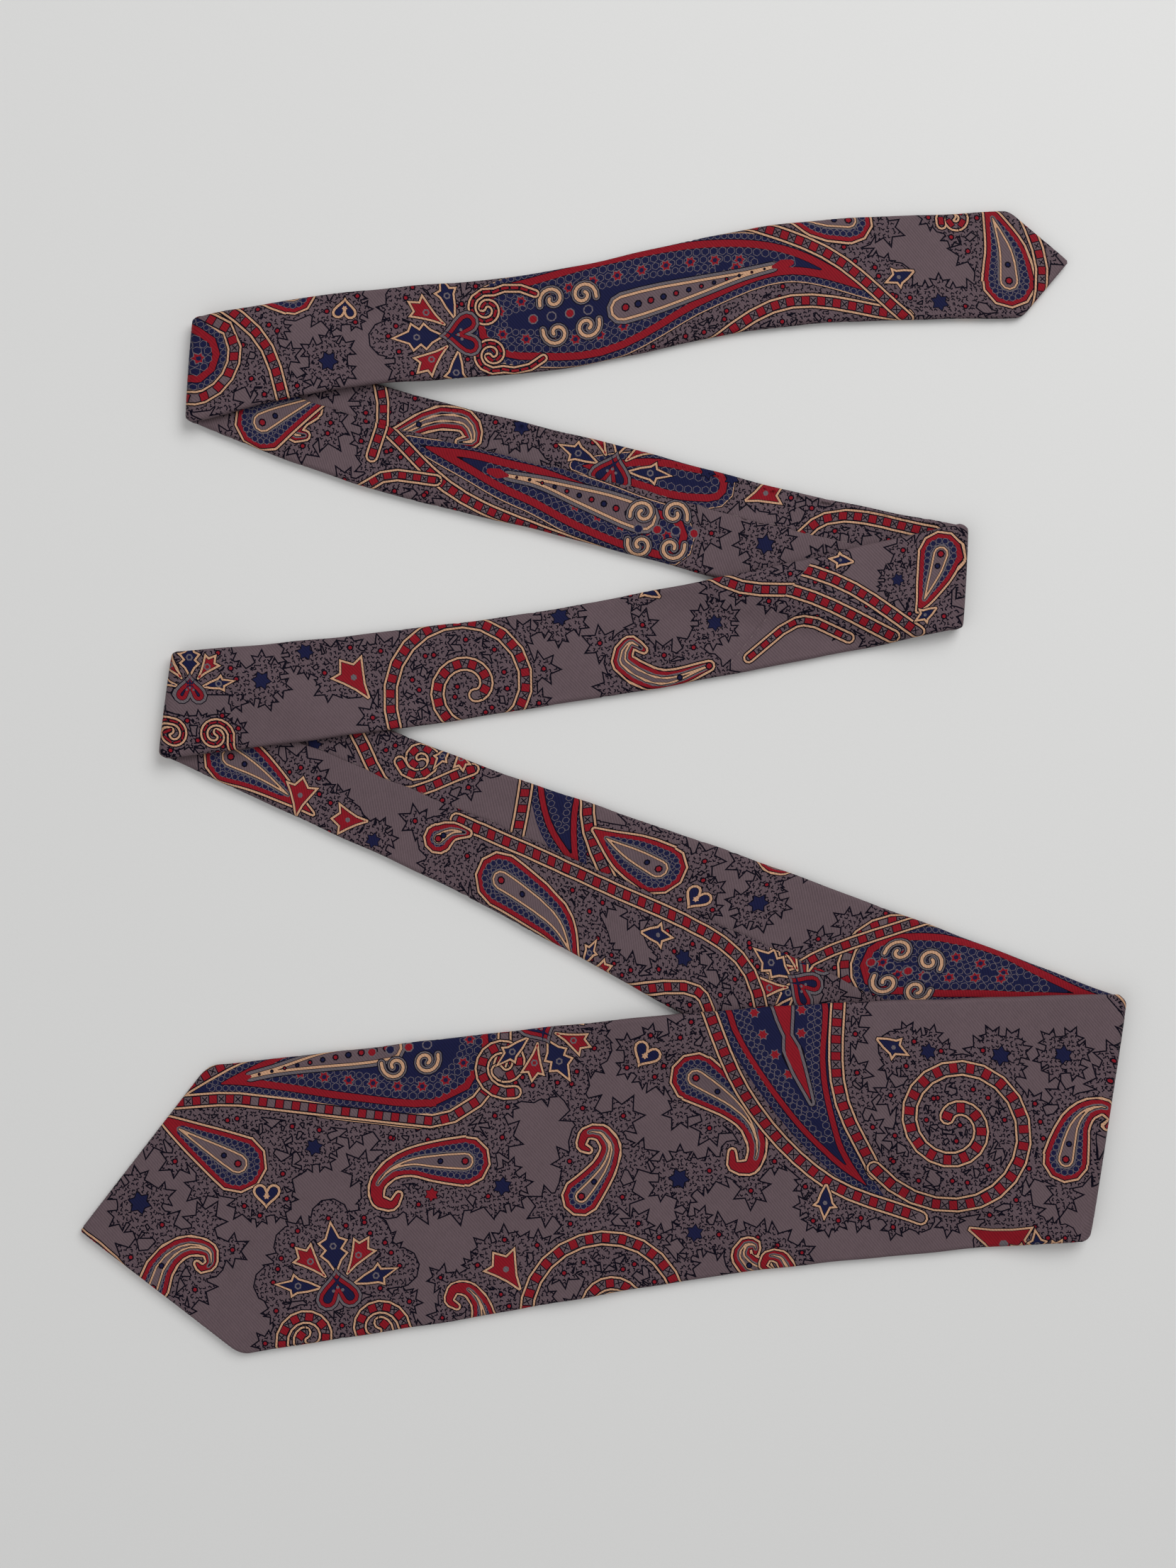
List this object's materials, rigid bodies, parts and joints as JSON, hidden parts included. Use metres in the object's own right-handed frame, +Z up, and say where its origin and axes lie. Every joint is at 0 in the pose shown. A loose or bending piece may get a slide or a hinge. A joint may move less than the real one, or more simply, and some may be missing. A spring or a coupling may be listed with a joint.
{
  "type": "necktie",
  "caption": "Printed silk necktie lying in a flat zig-zag, with hinged folds, interlining, tipping, a lapped back seam and a keeper loop.",
  "frame": {"origin": "bottom centre of the laid-out tie's box, on the table", "axes": "+X to the right, along the legs; +Y across the legs, from the blade to the tail; +Z up"},
  "size_m": [0.3384, 0.37, 0.0073],
  "materials": {
    "printed_silk": "printed silk twill with a soft sheen",
    "interlining": "brushed wool",
    "tipping": "plain lining satin",
    "thread": "matt spun thread"
  },
  "bodies": {
    "blade_leg": {"blade_panel_leg_1": "printed_silk", "blade_interlining_leg_1": "interlining", "blade_tipping": "tipping", "keeper_loop": "printed_silk", "blade_bar_tack": "thread", "slip_stitch_leg_1": "thread"},
    "upper_blade_leg": {"blade_panel_leg_2": "printed_silk", "blade_interlining_leg_2": "interlining", "slip_stitch_leg_2": "thread", "shell_bend_1": "printed_silk", "interlining_bend_1": "interlining", "shell_bend_2": "printed_silk", "interlining_bend_2": "interlining"},
    "neck_leg": {"blade_panel_leg_3": "printed_silk", "neck_panel_leg_3": "printed_silk", "blade_interlining_leg_3": "interlining", "tail_interlining_leg_3": "interlining", "slip_stitch_leg_3": "thread", "join_thread_leg_3": "thread"},
    "upper_tail_leg": {"neck_panel_leg_4": "printed_silk", "tail_panel_leg_4": "printed_silk", "tail_interlining_leg_4": "interlining", "slip_stitch_leg_4": "thread", "join_thread_leg_4": "thread", "shell_bend_3": "printed_silk", "interlining_bend_3": "interlining", "shell_bend_4": "printed_silk", "interlining_bend_4": "interlining"},
    "tail_leg": {"tail_panel_leg_5": "printed_silk", "tail_interlining_leg_5": "interlining", "tail_tipping": "tipping", "tail_bar_tack": "thread", "slip_stitch_leg_5": "thread"}
  },
  "joints": [
    {"name": "blade_fold", "type": "hinge", "parent": "upper_blade_leg", "child": "blade_leg", "pos_m": [0.15943, -0.10744, 0.00365], "axis": [0.1521, 0.9884, 0], "range_deg": [0, 180]},
    {"name": "middle_fold", "type": "hinge", "parent": "upper_blade_leg", "child": "neck_leg", "pos_m": [-0.13839, 0.02516, 0.00365], "axis": [-0.1279, -0.9918, 0], "range_deg": [0, 180]},
    {"name": "neck_fold", "type": "hinge", "parent": "neck_leg", "child": "upper_tail_leg", "pos_m": [0.11326, 0.06637, 0.00365], "axis": [-0.0523, -0.9986, 0], "range_deg": [0, 180]},
    {"name": "tail_fold", "type": "hinge", "parent": "upper_tail_leg", "child": "tail_leg", "pos_m": [-0.13077, 0.13313, 0.00365], "axis": [-0.0706, -0.9975, 0], "range_deg": [0, 180]}
  ]
}
